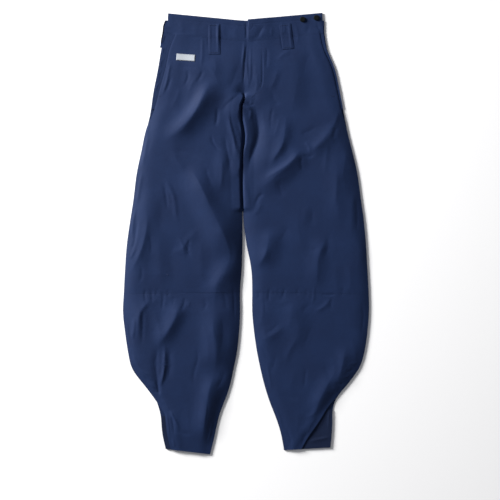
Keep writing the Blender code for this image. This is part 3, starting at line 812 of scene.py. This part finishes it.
cloth = {}
for side in ("right", "left"):
    for part in ("front_leg", "front_shin"):
        node = f"{part}_{side}"
        cloth[node] = cloth_piece(node, shape_front(node, side))

# %% [markdown]
# The backs lie under the fronts with their faces to the floor. Only a rim of them shows from above,
# and from below a broad flat sheet with the same seams. They keep the form that they were packed
# with. The pocket facings and ankle gussets are the lower layers that show through the openings. The
# facings are the same twill. The gussets take a darker copy of it, painted shade for the deep shadow
# inside the ankle.

# %% Backs, facings and gussets
GUSSET_CREASES = [
    Crease([(206, -492), (180, -497), (142, -504)], 6, 10, 1.2),
    Crease([(190, -432), (182, -456), (170, -476)], 9, 8, 0.8),
    Crease([(202, -420), (200, -450), (201, -486)], 4, 4, 0.9),
]
FACING_CREASES = [
    Crease([(-196, 448), (-200, 440), (-199, 430)], 5, 4, 0.6),
    Crease([(-199, 420), (-206, 408), (-203, 396)], 4, 5, 0.7),
    Crease([(-203, 392), (-211, 380), (-207, 368)], 5, 4, 0.6),
    Crease([(-206, 364), (-216, 350), (-213, 338)], 4, 4, 0.6),
]
BACK_THICK = 1.4
BACK_LONGEST = 80.0
STRIP_THICK = 0.9


def creased_strip(node, creases):
    """A strip's face with its own creases."""
    mesh = face_of_cloth(node, 3)
    points = read_points(mesh)
    points[:, 2] += crease_height(points, creases)
    write_points(mesh, points)
    return mesh


for side in ("right", "left"):
    node = f"back_leg_{side}"
    cloth[node] = cloth_piece(node, face_of_cloth(node, 2, BACK_LONGEST), BACK_THICK)
    node = f"pocket_facing_{side}"
    cloth[node] = cloth_piece(node, creased_strip(node, FACING_CREASES), STRIP_THICK)
    # The ankle gussets take the darker twill, painted shade for the shadow inside the ankle opening.
    node = f"ankle_gusset_{side}"
    cloth[node] = cloth_piece(node, creased_strip(node, GUSSET_CREASES), STRIP_THICK,
                              painted_shade_twill)

# %% [markdown]
# Everything sewn on later has to lie on the cloth that is there already. The height of the topmost
# cloth at a place is found by dropping a ray on every sheet made so far. A list of search trees keeps
# that quick, and each new piece adds its own.

# %% Rays onto the cloth
RAY_HEIGHT = 60.0


def tree_of(mesh):
    """A search tree for rays onto a mesh."""
    form = bmesh.new()
    form.from_mesh(mesh)
    tree = BVHTree.FromBMesh(form)
    form.free()
    return tree


trees = [tree_of(piece.data) for piece in cloth.values()]


def cloth_height(x, y):
    """Height of the topmost cloth at a place, in millimetres."""
    start = Vector((x, y, RAY_HEIGHT)) * MM
    hits = [tree.ray_cast(start, Vector((0, 0, -1)))[0] for tree in trees]
    heights = [hit.z / MM for hit in hits if hit]
    return max(heights) if heights else None


# %% [markdown]
# The waistband is a doubled strip sewn on over the panels, with a shallow channel along its stitching
# and soft ripples where the thread draws it up. Its lower edge turns down onto the cloth below, so
# the seam is a soft line and no gap. The left end laps over the right with a square corner.

# %% Waistband
BAND_THICK = 1.4
BAND_BACK_THICK = 1.6
LOWER_EDGE_UNDER = 480.0
UPPER_EDGE_OVER = 500.0
BAND_TURN = {"right": 6.0, "left": 15.0}
BAND_LAP = 0.9
BAND_PROUD = 0.12
PANEL_IN = 1.5
BAND_CHANNEL = 13.0
CHANNEL_DEEP = 0.25
CHANNEL_WIDE = 1.6
TOP_EDGE_DEEP = 0.5
TOP_EDGE_WIDE = 1.5
RIPPLE = 0.2
RIPPLE_SHORT = 7.3
RIPPLE_LONG = 19.0
LAP_PRESS = 0.5
LAP_FROM = 4.0
LAP_FADE = 4.0
BAND_CREASE_SHARE = 0.75
BAND_CREASE_FADE = 10.0
BAND_CREASES = [
    Crease([(46, 502), (34, 482), (24, 456)], 14, 9, -1.5),
    Crease([(86, 510), (88, 490), (84, 468)], 6, 7, 0.7),
    Crease([(118, 506), (124, 484), (122, 466)], 8, 8, 0.6),
    Crease([(154, 508), (150, 486), (156, 470)], 10, 10, -0.7),
    Crease([(172, 505), (176, 488), (174, 468)], 7, 7, -0.8),
    Crease([(-98, 512), (-101, 490), (-99, 466)], 7, 8, 0.7),
    Crease([(-126, 514), (-131, 492), (-128, 470)], 10, 10, -0.6),
    Crease([(-158, 516), (-154, 494), (-160, 470)], 9, 8, 0.7),
    Crease([(-48, 500), (-44, 484), (-49, 462)], 8, 8, -0.6),
    Crease([(-22, 498), (-26, 480), (-20, 462)], 9, 9, 0.6),
    Crease([(1, 512), (2, 485), (2, 452)], 6, 3, -1.7),
    Crease([(64, 500), (62, 482), (66, 462)], 7, 8, 0.5),
]


def shape_band(side):
    """A waistband's face with ripples, a stitched channel and a turned-down lower edge."""
    mesh = face_of_cloth(f"waistband_front_{side}", 4)
    points = read_points(mesh)
    east = points[:, 0]
    rim = rim_of(mesh)
    below = [pair for pair in rim if max(pair[0][1], pair[1][1]) < LOWER_EDGE_UNDER and not is_steep(pair)]
    above = [pair for pair in rim if min(pair[0][1], pair[1][1]) > UPPER_EDGE_OVER]
    from_below = distance_to(points, below)
    from_above = distance_to(points, above)
    folds = crease_height(points, BAND_CREASES) * ease(from_below / BAND_CREASE_FADE)
    points[:, 2] += BAND_CREASE_SHARE * folds
    points[:, 2] += RIPPLE * np.sin(east / RIPPLE_SHORT) * np.sin(east / RIPPLE_LONG + 1)
    points[:, 2] -= CHANNEL_DEEP * np.exp(-((from_above - BAND_CHANNEL) / CHANNEL_WIDE) ** 2)
    points[:, 2] -= TOP_EDGE_DEEP * np.exp(-(from_above / TOP_EDGE_WIDE) ** 2)
    if side == "left":
        points[:, 2] -= LAP_PRESS * (1 - ease((east - LAP_FROM) / LAP_FADE))
    turned = 1 - ease(from_below / BAND_TURN[side])
    for index in np.flatnonzero(turned):
        x, y, z = points[index]
        panel = cloth_height(x, y - from_below[index] - PANEL_IN) or z
        points[index, 2] += (panel + BAND_PROUD - z) * turned[index]
    points[:, 1] -= BAND_LAP * (1 - np.clip(from_below / BAND_TURN[side], 0, 1)) ** 2
    write_points(mesh, points)
    return mesh


for side in ("right", "left"):
    node = f"waistband_front_{side}"
    cloth[node] = cloth_piece(node, shape_band(side), BAND_THICK)
    trees.append(tree_of(cloth[node].data))
node = "waistband_back"
cloth[node] = cloth_piece(node, face_of_cloth(node, 3), BAND_BACK_THICK)

# %% [markdown]
# The front belt loops are long straps sewn down at both ends. Their stitched edges are thicker than
# the middle, so each side has a soft ridge, which catches the light on one slope and shades the other.
# The ridge on the east side is the higher one, and it grows towards the top, where the loop is slack.

# %% Front belt loops
LOOP_THICK = 0.7
LOOP_CLEAR = 0.1
LOOP_BOW = 0.5
LOOP_HALF = 14.0
LOOP_END = 0.1
LOOP_FEELERS = (-5, 0, 5)
Ridge = namedtuple("Ridge", "bottom top")
LOOP_RIDGE = {"right": Ridge(1.0, 2.1), "left": Ridge(0.8, 1.0)}
RIDGE_AT = 0.7
RIDGE_WIDE = 0.2
RIDGE_WEST = 0.4
RIDGE_FROM = 0.25
RIDGE_RUN = 0.4


def shape_loop(side):
    """A belt loop's face, laid close on the cloth, with a soft ridge inside each stitched edge."""
    mesh = face_of_cloth(f"belt_loop_front_{side}", 3)
    points = read_points(mesh)
    low, high = points[:, 1].min(), points[:, 1].max()
    along = (points[:, 1] - low) / (high - low)
    ends = (LOOP_END, 1 - LOOP_END)
    middle = np.interp(along, ends, [points[np.abs(along - end) < LOOP_END, 0].mean() for end in ends])
    across = (points[:, 0] - middle) / LOOP_HALF
    free = np.sin(math.pi * np.clip(along, 0, 1)) ** 0.5
    bottom, top = LOOP_RIDGE[side]
    ridge = bottom + (top - bottom) * ease((along - RIDGE_FROM) / RIDGE_RUN)
    ridge *= np.where(across < 0, RIDGE_WEST, 1)
    bulge = LOOP_BOW * (1 - across ** 2) + ridge * np.exp(-((np.abs(across) - RIDGE_AT) / RIDGE_WIDE) ** 2)
    under = np.array([max(cloth_height(x + step, y) or 0 for step in LOOP_FEELERS) for x, y, _ in points])
    points[:, 2] = under + LOOP_THICK + LOOP_CLEAR + free * bulge
    write_points(mesh, points)
    return mesh


for side in ("right", "left"):
    node = f"belt_loop_front_{side}"
    cloth[node] = cloth_piece(node, shape_loop(side), LOOP_THICK)
    trees.append(tree_of(cloth[node].data))

# %% [markdown]
# A side loop goes round the folded edge of the waist, so only its turned edge stands out past the
# band. It is too thick and too tightly folded for a thickened sheet. A copy of its solid is softened
# instead, and its upper layer is moved inwards and tucked in below the surface of the waistband.

# %% Side belt loops
UNDER_BAND = 4.2
LOOP_TOP = 3.0
LOOP_TOP_RISE = 3.0
BELOW_BAND = 0.4
BAND_FEELERS = (0, 3, 6, 9, 12)


def side_loop(side):
    """A softened copy of a side loop's solid, tucked in under the waistband's edge."""
    form = bmesh.new()
    form.from_mesh(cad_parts[f"belt_loop_side_{side}"].data)
    bmesh.ops.remove_doubles(form, verts=form.verts, dist=1e-6)
    inward = 1 if side == "right" else -1
    for vertex in form.verts:
        reach_in = (vertex.co.z / MM - LOOP_TOP) / LOOP_TOP_RISE
        vertex.co.x += inward * UNDER_BAND * MM * float(ease(reach_in))
        x, y, z = vertex.co / MM
        near = [cloth_height(x + inward * step, y) for step in BAND_FEELERS]
        band = [height for height in near if height and height > LOOP_TOP]
        if band:
            vertex.co.z = min(z, min(band) - BELOW_BAND) * MM
    mesh = bpy.data.meshes.new(f"belt_loop_side_{side}_cloth")
    form.to_mesh(mesh)
    form.free()
    mesh.shade_smooth()
    mesh.materials.append(navy_twill)
    return mesh


for side in ("right", "left"):
    node = f"belt_loop_side_{side}"
    loop = bpy.data.objects.new(node + "_cloth", side_loop(side))
    bpy.context.scene.collection.objects.link(loop)
    softer = loop.modifiers.new("softer", "SUBSURF")
    softer.levels = 2
    softer.render_levels = 2
    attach(loop, "root")
    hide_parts(node)
    cloth[node] = loop
    trees.append(tree_of(loop.data))
print("cloth pieces:", len(cloth))

# %% [markdown]
# The two studs at the left end of the waistband are small pressed caps in black enamel. Their solids
# already have the true form with an eased rim, so they only need their finish.

# %% Studs
for node in ("waist_stud_inner", "waist_stud_outer"):
    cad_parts[node].material_slots[0].material = black_enamel

# %% [markdown]
# Thread is what makes a seam read as sewn. Each stitch is a small grain of thread about three
# millimetres long, laid along a drawn line and sunk a little into the cloth under it. The height of
# the cloth is found by dropping a ray on it. Double rows mark the seams that carry the load.

# %% Lay stitches along a line
STITCH_STEP = 3.6
STITCH_LONG = 2.7
STITCH_WIDE = 0.62
STITCH_TALL = 0.5
STITCH_SUNK = 0.02
STITCH_FEEL = 0.4


def spaced(path, step):
    """Places and directions at even steps along a path."""
    path = [np.array(place, float) for place in path]
    lengths = [np.linalg.norm(b - a) for a, b in zip(path, path[1:])]
    total = sum(lengths)
    count = max(1, round(total / step))
    places = []
    index, passed = 0, 0.0
    for number in range(count):
        want = (number + 0.5) * total / count
        while index < len(lengths) - 1 and passed + lengths[index] < want:
            passed += lengths[index]
            index += 1
        run = path[index + 1] - path[index]
        places.append((path[index] + run * (want - passed) / lengths[index], run / lengths[index]))
    return places


def lay_stitches(form, path, step=STITCH_STEP, long=STITCH_LONG):
    """Adds a row of stitches on the cloth along a path of places in the plane."""
    laid = 0
    for place, run in spaced(path, step):
        ends = [cloth_height(*(place + run * long * half)) for half in (-STITCH_FEEL, STITCH_FEEL)]
        if None in ends or abs(ends[1] - ends[0]) > long:
            continue
        level = run * long * 2 * STITCH_FEEL
        rise = Vector((level[0], level[1], ends[1] - ends[0])).normalized()
        middle = Vector((place[0], place[1], sum(ends) / 2 - STITCH_SUNK)) * MM
        size = Matrix.Diagonal((long * MM / 2, STITCH_WIDE * MM / 2, STITCH_TALL * MM / 2, 1))
        turn = rise.to_track_quat("X", "Z").to_matrix().to_4x4()
        bmesh.ops.create_uvsphere(form, u_segments=6, v_segments=4, radius=1,
                                  matrix=Matrix.Translation(middle) @ turn @ size)
        laid += 1
    return laid


def moved(path, away):
    """A path moved sideways, to the left of its direction where away is above zero."""
    path = [np.array(place, float) for place in path]
    shifted = []
    for index, place in enumerate(path):
        run = path[min(index + 1, len(path) - 1)] - path[max(index - 1, 0)]
        run /= np.linalg.norm(run)
        shifted.append(place + away * np.array([-run[1], run[0]]))
    return shifted


def edge_line(node, side_sign, top, bottom):
    """The outer edge of a panel between two heights, from the top down."""
    rim = rim_of(cloth[node].data)
    middle = np.mean([pair[0][0] for pair in rim])
    places = [pair[0] for pair in rim if bottom < pair[0][1] < top
              and (pair[0][0] - middle) * side_sign > 0 and is_steep(pair)]
    return sorted(places, key=lambda place: -place[1])[::2]


def level_line(node, upper):
    """The top or bottom edge of a sheet, from west to east."""
    rim = rim_of(cloth[node].data)
    middle = np.mean([pair[0][1] for pair in rim])
    places = [pair[0] for pair in rim if (pair[0][1] > middle) == upper and not is_steep(pair)]
    return sorted(places, key=lambda place: place[0])[::2]


def thread_piece(name, form, thread=navy_thread):
    """A finished piece of thread from a form of stitches."""
    mesh = bpy.data.meshes.new(name)
    form.to_mesh(mesh)
    form.free()
    mesh.shade_smooth()
    mesh.materials.append(thread)
    piece = bpy.data.objects.new(name, mesh)
    bpy.context.scene.collection.objects.link(piece)
    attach(piece, "root")
    return piece


# %% [markdown]
# The waistband is sewn along both its long edges, with one more row below the top edge and one down
# the end that laps over. The fly has two curved rows, which stop at its foot, and so does each pocket
# mouth. A stitched line stops a little before the corner of its panel, as on a real seam.

# %% Sew the waistband
WAIST_ROW_IN = 2.5
LAP_ROW = [(8, 508), (8, 466)]
waist_form = bmesh.new()
sewn = 0
for node in ("waistband_front_right", "waistband_front_left"):
    top_edge, low_edge = level_line(node, True), level_line(node, False)
    rows = (moved(top_edge, -WAIST_ROW_IN), moved(top_edge, -BAND_CHANNEL), moved(low_edge, WAIST_ROW_IN))
    for row in rows:
        sewn += lay_stitches(waist_form, row[2:-2])
sewn += lay_stitches(waist_form, LAP_ROW)
waist_thread = thread_piece("waistband_thread", waist_form)
print("waistband stitches:", sewn)

# %% Sew the fly and the pocket mouths
FLY_STITCHING = [(37, 458), (38, 410), (38, 372), (35, 352), (28, 336), (12, 323)]
FLY_ROWS_APART = 6.0
MOUTH_TOP = 474.0
MOUTH_ROWS = (2.2, 8.2)
front_form = bmesh.new()
sewn = lay_stitches(front_form, smooth_line(FLY_STITCHING))
sewn += lay_stitches(front_form, moved(smooth_line(FLY_STITCHING), FLY_ROWS_APART))
for node, sign in (("front_leg_right", -1), ("front_leg_left", 1)):
    mouth = edge_line(node, sign, MOUTH_TOP, POCKET_FOOT)
    for away in MOUTH_ROWS:
        sewn += lay_stitches(front_form, moved(mouth, sign * away)[3:-2])
front_thread = thread_piece("fly_and_pocket_thread", front_form)
print("fly and pocket stitches:", sewn)

# %% Sew the knee seams and hems
KNEE_ROW_DOWN = 2.5
HEM_ROW_UP = 11.0
knee_form = bmesh.new()
sewn = 0
for side in ("right", "left"):
    knee_edge = level_line(f"front_shin_{side}", True)
    sewn += lay_stitches(knee_form, moved(knee_edge, -KNEE_ROW_DOWN)[2:-2])
    hem_edge = level_line(f"front_shin_{side}", False)
    sewn += lay_stitches(knee_form, moved(hem_edge, HEM_ROW_UP)[2:-2])
knee_thread = thread_piece("knee_and_hem_thread", knee_form)
print("knee and hem stitches:", sewn)

# %% [markdown]
# A bar tack is a short row of stitches packed side by side. It holds what would tear first: both
# ends of each belt loop, the ends of the pocket mouths and the foot of the fly.

# %% Bar tacks and belt loop stitching
TACK_STEP = 0.8
TACK_WIDE = 2.6
LOOP_TACK_IN = 3.5
LOOP_ROWS = (0.1, 0.9)
Tack = namedtuple("Tack", "start end")
TACKS = [Tack((26, 337), (14, 327)), Tack((-205, 330), (-214, 328)), Tack((205, 330), (214, 328))]


def bar_tack(form, start, end, wide=TACK_WIDE):
    """A dense row of stitches that cross the line from start to end."""
    laid = 0
    for place, run in spaced([start, end], TACK_STEP):
        across = np.array([-run[1], run[0]]) * wide / 2
        laid += lay_stitches(form, [place - across, place + across], step=wide, long=wide)
    return laid


tack_form = bmesh.new()
sewn = 0
for node in ("belt_loop_front_right", "belt_loop_front_left"):
    top_edge, low_edge = level_line(node, True), level_line(node, False)
    for line, inwards in ((top_edge, -LOOP_TACK_IN), (low_edge, LOOP_TACK_IN)):
        sewn += bar_tack(tack_form, *moved([line[1], line[-2]], inwards))
    for share in LOOP_ROWS:
        start = top_edge[0] + (top_edge[-1] - top_edge[0]) * share
        end = low_edge[0] + (low_edge[-1] - low_edge[0]) * share
        sewn += lay_stitches(tack_form, [start, end])
for tack in TACKS:
    sewn += bar_tack(tack_form, tack.start, tack.end)
tack_thread = thread_piece("bar_tack_thread", tack_form)
print("tack and loop stitches:", sewn)

# %% [markdown]
# A row of near-black thread along the outer edge of the right side loop is painted shade, for the
# dark shadow in the fold of the loop. Threads are laid side by side across the edge, close enough to
# read as one dark line, and lifted to the softened surface.

# %% Painted shade along the edge of the right side loop
EDGE_STEP = 0.6
EDGE_LONG = 2.6
EDGE_IN = 2.8
EDGE_PROUD = 0.45
EDGE_FOOT = 12.0
EDGE_HEAD = 1.0
EDGE_ROWS = 12
EDGE_ROW_REACH = 5.0
loop_points = read_points(cloth["belt_loop_side_right"].data)
loop_east = loop_points[:, 0]
loop_high = loop_points[:, 1]
loop_rows = np.linspace(loop_high.min() + EDGE_FOOT, loop_high.max() - EDGE_HEAD, EDGE_ROWS)
outline = [(loop_east[np.abs(loop_high - row) < EDGE_ROW_REACH].min() + EDGE_IN, row) for row in loop_rows]
edge_form = bmesh.new()
sewn = 0
for place, run in spaced(smooth_line(outline), EDGE_STEP):
    across_edge = np.array([-run[1], run[0]]) * EDGE_LONG / 2
    over = [place - across_edge, place + across_edge]
    sewn += lay_stitches(edge_form, over, step=EDGE_LONG, long=EDGE_LONG)
bmesh.ops.translate(edge_form, verts=edge_form.verts, vec=(0, 0, EDGE_PROUD * MM))
# The near-black thread here is painted shade for the shadow in the fold of the loop.
edge_thread = thread_piece("loop_edge_painted_shade", edge_form, painted_shade_thread)
print("painted_shade_edge stitches:", sewn)

# %% [markdown]
# The small woven tab by the pocket is a folded ribbon sewn down flat. Here it is plain. It is a thin
# sheet with square corners that follows the cloth, with a sewn line inside its edge.

# %% Plain woven tab
TAB_MIDDLE = (-144.5, 422.0)
TAB_SIZE = (44.5, 15.5)
TAB_TURN = math.radians(-4)
TAB_THICK = 0.7
TAB_CLEAR = 0.05
TAB_CELLS = (24, 10)
TAB_ROW = (0.47, 0.42)
TAB_STITCH_STEP = 2.6
TAB_STITCH_LONG = 2.0
across = Vector((math.cos(TAB_TURN), math.sin(TAB_TURN)))
upward = Vector((-across.y, across.x))


def on_tab(x, y):
    """A place in the plane, from shares of the tab's width and height counted from its middle."""
    return Vector(TAB_MIDDLE) + across * x * TAB_SIZE[0] + upward * y * TAB_SIZE[1]


tab_form = bmesh.new()
bmesh.ops.create_grid(tab_form, x_segments=TAB_CELLS[0], y_segments=TAB_CELLS[1], size=0.5)
for vertex in tab_form.verts:
    place = on_tab(vertex.co.x, vertex.co.y)
    vertex.co = Vector((place.x, place.y, cloth_height(*place) + TAB_THICK + TAB_CLEAR)) * MM
tab_mesh = bpy.data.meshes.new("plain_tab_tape")
tab_form.to_mesh(tab_mesh)
tab_form.free()
tab = cloth_piece("plain_tab", tab_mesh, TAB_THICK, woven_tape, "_tape")
trees.append(tree_of(tab_mesh))

tab_stitching = bmesh.new()
turns = ((-1, 1), (1, 1), (1, -1), (-1, -1), (-1, 1))
corners = [tuple(on_tab(TAB_ROW[0] * x, TAB_ROW[1] * y)) for x, y in turns]
sewn = 0
for side_line in zip(corners, corners[1:]):
    sewn += lay_stitches(tab_stitching, side_line, TAB_STITCH_STEP, TAB_STITCH_LONG)
tab_thread = thread_piece("tab_thread", tab_stitching)
print("tab stitches:", sewn)

# %% [markdown]
# A cut has a width and a length, laid flat and as far as it shows, an area and the pieces it rests
# on. A panel's rectangle runs along the garment's length, and a strip's is the smallest that holds it.
# The area is the cut's own, because no panel of a tobi leg is a rectangle. The left side loop is given
# as 10 mm wide, the least that can be declared, and shows about 8. Nothing hangs: each piece lies on
# others.

Cut = namedtuple("Cut", "width length area rests_on")
cloth["plain_tab"] = tab
